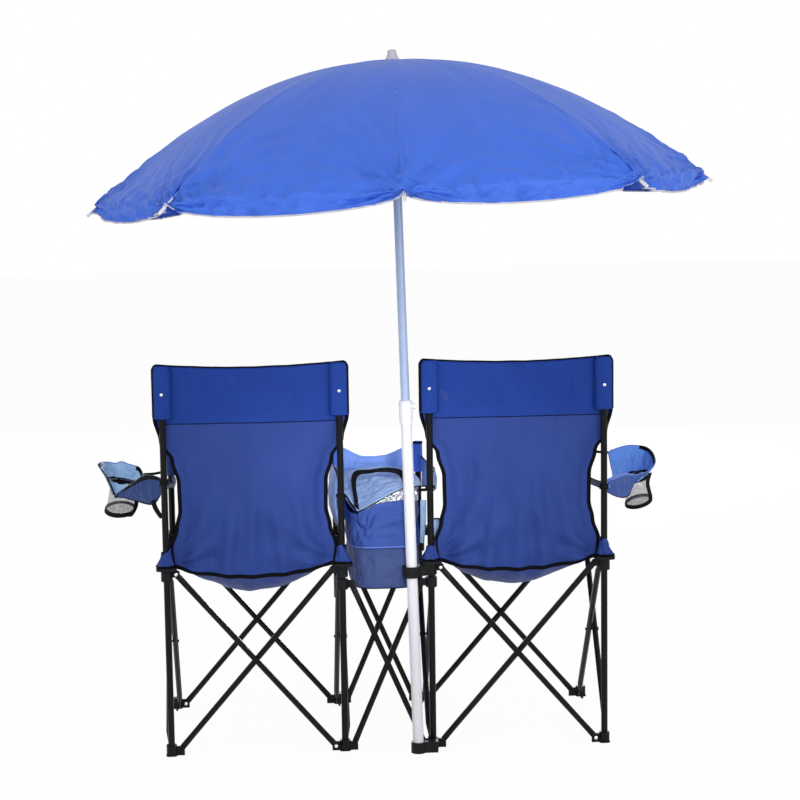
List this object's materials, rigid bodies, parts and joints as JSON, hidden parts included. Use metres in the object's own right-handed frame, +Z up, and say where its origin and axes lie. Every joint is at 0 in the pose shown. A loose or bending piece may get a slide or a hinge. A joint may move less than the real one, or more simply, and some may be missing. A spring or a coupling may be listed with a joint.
{
  "type": "folding camping loveseat",
  "caption": "Folding double camp chair with scissor frame, fabric seats, cup holders, centre cooler bag and clip-in beach umbrella.",
  "frame": {"origin": "on the ground under the middle of the object's overall box", "axes": "+Z up, +Y the way the sitters face, +X to the right as seen from behind"},
  "size_m": [1.3398, 1.3218, 1.5142],
  "materials": {
    "dark_tube": "satin",
    "black_plastic": "matte",
    "white_steel": "gloss",
    "white_plastic": "satin",
    "canopy_cloth": "semi-gloss",
    "seat_cloth": "matte",
    "arm_cloth": "matte",
    "net": "matte",
    "webbing": "matte"
  },
  "bodies": {
    "right_inner_rear": {"rear_post_right_inner": "dark_tube", "umbrella_socket": "black_plastic", "sling_right": "seat_cloth"},
    "right_outer_rear": {"rear_post_right_outer": "dark_tube"},
    "left_inner_rear": {"rear_post_left_inner": "dark_tube", "sling_left": "seat_cloth"},
    "left_outer_rear": {"rear_post_left_outer": "dark_tube"},
    "hub_left_outer": {"rear_hub_left_outer": "black_plastic"},
    "front_foot_left_outer": {"front_foot_left_outer": "black_plastic"},
    "arm_post_left_outer": {"arm_post_left_outer": "dark_tube", "arm_left": "arm_cloth", "cup_net_left": "net"},
    "hub_left_inner": {"rear_hub_left_inner": "black_plastic"},
    "front_foot_left_inner": {"front_foot_left_inner": "black_plastic"},
    "arm_post_left_inner": {"arm_post_left_inner": "dark_tube"},
    "hub_right_inner": {"rear_hub_right_inner": "black_plastic", "umbrella_ring": "black_plastic"},
    "front_foot_right_inner": {"front_foot_right_inner": "black_plastic"},
    "arm_post_right_inner": {"arm_post_right_inner": "dark_tube", "centre_table": "arm_cloth", "cooler_bag": "arm_cloth"},
    "hub_right_outer": {"rear_hub_right_outer": "black_plastic"},
    "front_foot_right_outer": {"front_foot_right_outer": "black_plastic"},
    "arm_post_right_outer": {"arm_post_right_outer": "dark_tube", "arm_right": "arm_cloth", "cup_net_right": "net"},
    "rear_slider_left_inner": {"rear_slider_left_inner": "black_plastic"},
    "front_slider_left_inner": {"front_slider_left_inner": "black_plastic"},
    "rear_slider_right_inner": {"rear_slider_right_inner": "black_plastic"},
    "front_slider_right_inner": {"front_slider_right_inner": "black_plastic"},
    "rear_bar_left_outer": {"rear_bar_left_outer": "dark_tube"},
    "rear_bar_left_inner": {"rear_bar_left_inner": "dark_tube"},
    "rear_bar_right_inner": {"rear_bar_right_inner": "dark_tube"},
    "rear_bar_right_outer": {"rear_bar_right_outer": "dark_tube"},
    "front_bar_left_outer": {"front_bar_left_outer": "dark_tube"},
    "front_bar_left_inner": {"front_bar_left_inner": "dark_tube"},
    "front_bar_right_inner": {"front_bar_right_inner": "dark_tube"},
    "front_bar_right_outer": {"front_bar_right_outer": "dark_tube"},
    "side_bar_rear_left_outer": {"side_bar_rear_left_outer": "dark_tube"},
    "side_bar_rear_left_inner": {"side_bar_rear_left_inner": "dark_tube"},
    "side_bar_rear_right_inner": {"side_bar_rear_right_inner": "dark_tube"},
    "side_bar_rear_right_outer": {"side_bar_rear_right_outer": "dark_tube"},
    "side_bar_front_left_outer": {"side_bar_front_left_outer": "dark_tube"},
    "side_bar_front_left_inner": {"side_bar_front_left_inner": "dark_tube"},
    "side_bar_front_right_inner": {"side_bar_front_right_inner": "dark_tube"},
    "side_bar_front_right_outer": {"side_bar_front_right_outer": "dark_tube"},
    "centre_rear_bar_left_inner": {"centre_rear_bar_left_inner": "dark_tube"},
    "centre_rear_bar_right_inner": {"centre_rear_bar_right_inner": "dark_tube"},
    "centre_front_bar_left_inner": {"centre_front_bar_left_inner": "dark_tube"},
    "centre_front_bar_right_inner": {"centre_front_bar_right_inner": "dark_tube"},
    "cooler_lid": {"cooler_lid": "arm_cloth", "carry_handle": "webbing"},
    "umbrella_lower": {"umbrella_lower_pole": "white_steel", "umbrella_collar": "white_plastic"},
    "umbrella_upper": {"umbrella_upper_pole": "white_steel", "umbrella_ribs": "white_steel", "umbrella_stretchers": "white_steel", "umbrella_canopy": "canopy_cloth", "umbrella_cap": "white_plastic"},
    "clamp_knob": {"umbrella_clamp_knob": "white_plastic"}
  },
  "joints": [
    {"name": "frame_fold", "type": "hinge", "parent": "right_inner_rear", "child": "rear_bar_right_inner", "pos_m": [0.08592, 0.01927, 0.012], "axis": [0, -1, 0], "range_deg": [0, 36], "deforming": ["sling_right", "sling_left", "arm_right", "arm_left", "centre_table", "cooler_bag", "cooler_lid", "carry_handle"]},
    {"name": "right_rear_cross", "type": "hinge", "parent": "rear_bar_right_inner", "child": "rear_bar_right_outer", "pos_m": [0.25492, 0.01927, 0.208], "axis": [0, -1, 0], "range_deg": [-72.01, 0.01]},
    {"name": "right_outer_rear_foot", "type": "hinge", "parent": "rear_bar_right_outer", "child": "right_outer_rear", "pos_m": [0.42392, 0.01927, 0.012], "axis": [0, -1, 0], "range_deg": [-0.01, 36.01]},
    {"name": "right_outer_rear_hub", "type": "hinge", "parent": "rear_bar_right_inner", "child": "hub_right_outer", "pos_m": [0.42392, 0.01927, 0.404], "axis": [0, -1, 0], "range_deg": [-36.01, 0.01]},
    {"name": "right_inner_rear_hub", "type": "hinge", "parent": "rear_bar_right_outer", "child": "hub_right_inner", "pos_m": [0.08592, 0.01927, 0.404], "axis": [0, -1, 0], "range_deg": [-0.01, 36.01]},
    {"name": "centre_rear_lean", "type": "hinge", "parent": "right_inner_rear", "child": "centre_rear_bar_right_inner", "pos_m": [0.04592, 0.01927, 0.012], "axis": [0, 1, 0], "range_deg": [-0.01, 14.41]},
    {"name": "centre_rear_cross", "type": "hinge", "parent": "centre_rear_bar_right_inner", "child": "centre_rear_bar_left_inner", "pos_m": [-0.03058, 0.01927, 0.19175], "axis": [0, 1, 0], "range_deg": [-28.81, 0.01]},
    {"name": "left_inner_rear_foot", "type": "hinge", "parent": "centre_rear_bar_left_inner", "child": "left_inner_rear", "pos_m": [-0.10708, 0.01927, 0.012], "axis": [0, 1, 0], "range_deg": [-0.01, 14.41]},
    {"name": "rear_slider_left", "type": "hinge", "parent": "centre_rear_bar_right_inner", "child": "rear_slider_left_inner", "pos_m": [-0.10708, 0.01927, 0.3715], "axis": [0, 1, 0], "range_deg": [-14.41, 0.01]},
    {"name": "rear_slider_right", "type": "hinge", "parent": "centre_rear_bar_left_inner", "child": "rear_slider_right_inner", "pos_m": [0.04592, 0.01927, 0.3715], "axis": [0, 1, 0], "range_deg": [-0.01, 14.41]},
    {"name": "left_rear_lean", "type": "hinge", "parent": "left_inner_rear", "child": "rear_bar_left_inner", "pos_m": [-0.14708, 0.01927, 0.012], "axis": [0, 1, 0], "range_deg": [-0.01, 36.01]},
    {"name": "left_rear_cross", "type": "hinge", "parent": "rear_bar_left_inner", "child": "rear_bar_left_outer", "pos_m": [-0.31608, 0.01927, 0.208], "axis": [0, 1, 0], "range_deg": [-72.01, 0.01]},
    {"name": "left_outer_rear_foot", "type": "hinge", "parent": "rear_bar_left_outer", "child": "left_outer_rear", "pos_m": [-0.48508, 0.01927, 0.012], "axis": [0, 1, 0], "range_deg": [-0.01, 36.01]},
    {"name": "left_outer_rear_hub", "type": "hinge", "parent": "rear_bar_left_inner", "child": "hub_left_outer", "pos_m": [-0.48508, 0.01927, 0.404], "axis": [0, 1, 0], "range_deg": [-36.01, 0.01]},
    {"name": "left_inner_rear_hub", "type": "hinge", "parent": "rear_bar_left_outer", "child": "hub_left_inner", "pos_m": [-0.14708, 0.01927, 0.404], "axis": [0, 1, 0], "range_deg": [-0.01, 36.01]},
    {"name": "side_lean_left_outer", "type": "hinge", "parent": "left_outer_rear", "child": "side_bar_rear_left_outer", "pos_m": [-0.50508, 0.03927, 0.012], "axis": [1, 0, 0], "range_deg": [-0.01, 36.01]},
    {"name": "side_cross_left_outer", "type": "hinge", "parent": "side_bar_rear_left_outer", "child": "side_bar_front_left_outer", "pos_m": [-0.50508, 0.20827, 0.208], "axis": [1, 0, 0], "range_deg": [-72.01, 0.01]},
    {"name": "front_foot_pivot_left_outer", "type": "hinge", "parent": "side_bar_front_left_outer", "child": "front_foot_left_outer", "pos_m": [-0.50508, 0.37727, 0.012], "axis": [1, 0, 0], "range_deg": [-0.01, 36.01]},
    {"name": "arm_post_pivot_left_outer", "type": "hinge", "parent": "side_bar_rear_left_outer", "child": "arm_post_left_outer", "pos_m": [-0.50508, 0.37727, 0.404], "axis": [1, 0, 0], "range_deg": [-36.01, 0.01]},
    {"name": "side_lean_left_inner", "type": "hinge", "parent": "left_inner_rear", "child": "side_bar_rear_left_inner", "pos_m": [-0.12708, 0.03927, 0.012], "axis": [1, 0, 0], "range_deg": [-0.01, 36.01]},
    {"name": "side_cross_left_inner", "type": "hinge", "parent": "side_bar_rear_left_inner", "child": "side_bar_front_left_inner", "pos_m": [-0.12708, 0.20827, 0.208], "axis": [1, 0, 0], "range_deg": [-72.01, 0.01]},
    {"name": "front_foot_pivot_left_inner", "type": "hinge", "parent": "side_bar_front_left_inner", "child": "front_foot_left_inner", "pos_m": [-0.12708, 0.37727, 0.012], "axis": [1, 0, 0], "range_deg": [-0.01, 36.01]},
    {"name": "arm_post_pivot_left_inner", "type": "hinge", "parent": "side_bar_rear_left_inner", "child": "arm_post_left_inner", "pos_m": [-0.12708, 0.37727, 0.404], "axis": [1, 0, 0], "range_deg": [-36.01, 0.01]},
    {"name": "side_lean_right_inner", "type": "hinge", "parent": "right_inner_rear", "child": "side_bar_rear_right_inner", "pos_m": [0.06592, 0.03927, 0.012], "axis": [1, 0, 0], "range_deg": [-0.01, 36.01]},
    {"name": "side_cross_right_inner", "type": "hinge", "parent": "side_bar_rear_right_inner", "child": "side_bar_front_right_inner", "pos_m": [0.06592, 0.20827, 0.208], "axis": [1, 0, 0], "range_deg": [-72.01, 0.01]},
    {"name": "front_foot_pivot_right_inner", "type": "hinge", "parent": "side_bar_front_right_inner", "child": "front_foot_right_inner", "pos_m": [0.06592, 0.37727, 0.012], "axis": [1, 0, 0], "range_deg": [-0.01, 36.01]},
    {"name": "arm_post_pivot_right_inner", "type": "hinge", "parent": "side_bar_rear_right_inner", "child": "arm_post_right_inner", "pos_m": [0.06592, 0.37727, 0.404], "axis": [1, 0, 0], "range_deg": [-36.01, 0.01]},
    {"name": "side_lean_right_outer", "type": "hinge", "parent": "right_outer_rear", "child": "side_bar_rear_right_outer", "pos_m": [0.44392, 0.03927, 0.012], "axis": [1, 0, 0], "range_deg": [-0.01, 36.01]},
    {"name": "side_cross_right_outer", "type": "hinge", "parent": "side_bar_rear_right_outer", "child": "side_bar_front_right_outer", "pos_m": [0.44392, 0.20827, 0.208], "axis": [1, 0, 0], "range_deg": [-72.01, 0.01]},
    {"name": "front_foot_pivot_right_outer", "type": "hinge", "parent": "side_bar_front_right_outer", "child": "front_foot_right_outer", "pos_m": [0.44392, 0.37727, 0.012], "axis": [1, 0, 0], "range_deg": [-0.01, 36.01]},
    {"name": "arm_post_pivot_right_outer", "type": "hinge", "parent": "side_bar_rear_right_outer", "child": "arm_post_right_outer", "pos_m": [0.44392, 0.37727, 0.404], "axis": [1, 0, 0], "range_deg": [-36.01, 0.01]},
    {"name": "right_front_lean_a", "type": "hinge", "parent": "front_foot_right_inner", "child": "front_bar_right_inner", "pos_m": [0.08592, 0.39727, 0.012], "axis": [0, -1, 0], "range_deg": [-0.01, 36.01]},
    {"name": "right_front_lean_b", "type": "hinge", "parent": "front_foot_right_outer", "child": "front_bar_right_outer", "pos_m": [0.42392, 0.39727, 0.012], "axis": [0, -1, 0], "range_deg": [-36.01, 0.01]},
    {"name": "left_front_lean_a", "type": "hinge", "parent": "front_foot_left_inner", "child": "front_bar_left_inner", "pos_m": [-0.14708, 0.39727, 0.012], "axis": [0, 1, 0], "range_deg": [-0.01, 36.01]},
    {"name": "left_front_lean_b", "type": "hinge", "parent": "front_foot_left_outer", "child": "front_bar_left_outer", "pos_m": [-0.48508, 0.39727, 0.012], "axis": [0, 1, 0], "range_deg": [-36.01, 0.01]},
    {"name": "centre_front_lean_a", "type": "hinge", "parent": "front_foot_right_inner", "child": "centre_front_bar_right_inner", "pos_m": [0.04592, 0.39727, 0.012], "axis": [0, 1, 0], "range_deg": [-0.01, 14.41]},
    {"name": "front_slider_left", "type": "hinge", "parent": "centre_front_bar_right_inner", "child": "front_slider_left_inner", "pos_m": [-0.10708, 0.39727, 0.3715], "axis": [0, 1, 0], "range_deg": [-14.41, 0.01]},
    {"name": "centre_front_lean_b", "type": "hinge", "parent": "front_foot_left_inner", "child": "centre_front_bar_left_inner", "pos_m": [-0.10708, 0.39727, 0.012], "axis": [0, 1, 0], "range_deg": [-14.41, 0.01]},
    {"name": "front_slider_right", "type": "hinge", "parent": "centre_front_bar_left_inner", "child": "front_slider_right_inner", "pos_m": [0.04592, 0.39727, 0.3715], "axis": [0, 1, 0], "range_deg": [-0.01, 14.41]},
    {"name": "umbrella_lift", "type": "slide", "parent": "right_inner_rear", "child": "umbrella_lower", "axis": [-0.0228, 0.0208, 0.9995], "range_m": [0, 0.5]},
    {"name": "umbrella_extend", "type": "slide", "parent": "umbrella_lower", "child": "umbrella_upper", "axis": [-0.0228, 0.0208, 0.9995], "range_m": [-0.25, 0.08]},
    {"name": "clamp_knob", "type": "hinge", "parent": "umbrella_lower", "child": "clamp_knob", "pos_m": [0.02429, 0.00049, 0.75947], "axis": [0.9997, 0.0002, 0.0228], "range_deg": [0, 360]},
    {"name": "cooler_lid", "type": "hinge", "parent": "arm_post_right_inner", "child": "cooler_lid", "pos_m": [-0.03058, 0.34127, 0.571], "axis": [-1, 0, 0], "range_deg": [0, 100]}
  ],
  "couplings": [
    {"joint": "right_rear_cross", "follows": "frame_fold", "ratio": -2},
    {"joint": "right_outer_rear_foot", "follows": "frame_fold", "ratio": 1},
    {"joint": "right_outer_rear_hub", "follows": "frame_fold", "ratio": -1},
    {"joint": "right_inner_rear_hub", "follows": "frame_fold", "ratio": 1},
    {"joint": "centre_rear_lean", "follows": "frame_fold", "ratio": 0.4},
    {"joint": "centre_rear_cross", "follows": "frame_fold", "ratio": -0.8},
    {"joint": "left_inner_rear_foot", "follows": "frame_fold", "ratio": 0.4},
    {"joint": "rear_slider_left", "follows": "frame_fold", "ratio": -0.4},
    {"joint": "rear_slider_right", "follows": "frame_fold", "ratio": 0.4},
    {"joint": "left_rear_lean", "follows": "frame_fold", "ratio": 1},
    {"joint": "left_rear_cross", "follows": "frame_fold", "ratio": -2},
    {"joint": "left_outer_rear_foot", "follows": "frame_fold", "ratio": 1},
    {"joint": "left_outer_rear_hub", "follows": "frame_fold", "ratio": -1},
    {"joint": "left_inner_rear_hub", "follows": "frame_fold", "ratio": 1},
    {"joint": "side_lean_left_outer", "follows": "frame_fold", "ratio": 1},
    {"joint": "side_cross_left_outer", "follows": "frame_fold", "ratio": -2},
    {"joint": "front_foot_pivot_left_outer", "follows": "frame_fold", "ratio": 1},
    {"joint": "arm_post_pivot_left_outer", "follows": "frame_fold", "ratio": -1},
    {"joint": "side_lean_left_inner", "follows": "frame_fold", "ratio": 1},
    {"joint": "side_cross_left_inner", "follows": "frame_fold", "ratio": -2},
    {"joint": "front_foot_pivot_left_inner", "follows": "frame_fold", "ratio": 1},
    {"joint": "arm_post_pivot_left_inner", "follows": "frame_fold", "ratio": -1},
    {"joint": "side_lean_right_inner", "follows": "frame_fold", "ratio": 1},
    {"joint": "side_cross_right_inner", "follows": "frame_fold", "ratio": -2},
    {"joint": "front_foot_pivot_right_inner", "follows": "frame_fold", "ratio": 1},
    {"joint": "arm_post_pivot_right_inner", "follows": "frame_fold", "ratio": -1},
    {"joint": "side_lean_right_outer", "follows": "frame_fold", "ratio": 1},
    {"joint": "side_cross_right_outer", "follows": "frame_fold", "ratio": -2},
    {"joint": "front_foot_pivot_right_outer", "follows": "frame_fold", "ratio": 1},
    {"joint": "arm_post_pivot_right_outer", "follows": "frame_fold", "ratio": -1},
    {"joint": "right_front_lean_a", "follows": "frame_fold", "ratio": 1},
    {"joint": "right_front_lean_b", "follows": "frame_fold", "ratio": -1},
    {"joint": "left_front_lean_a", "follows": "frame_fold", "ratio": 1},
    {"joint": "left_front_lean_b", "follows": "frame_fold", "ratio": -1},
    {"joint": "centre_front_lean_a", "follows": "frame_fold", "ratio": 0.4},
    {"joint": "front_slider_left", "follows": "frame_fold", "ratio": -0.4},
    {"joint": "centre_front_lean_b", "follows": "frame_fold", "ratio": -0.4},
    {"joint": "front_slider_right", "follows": "frame_fold", "ratio": 0.4}
  ]
}
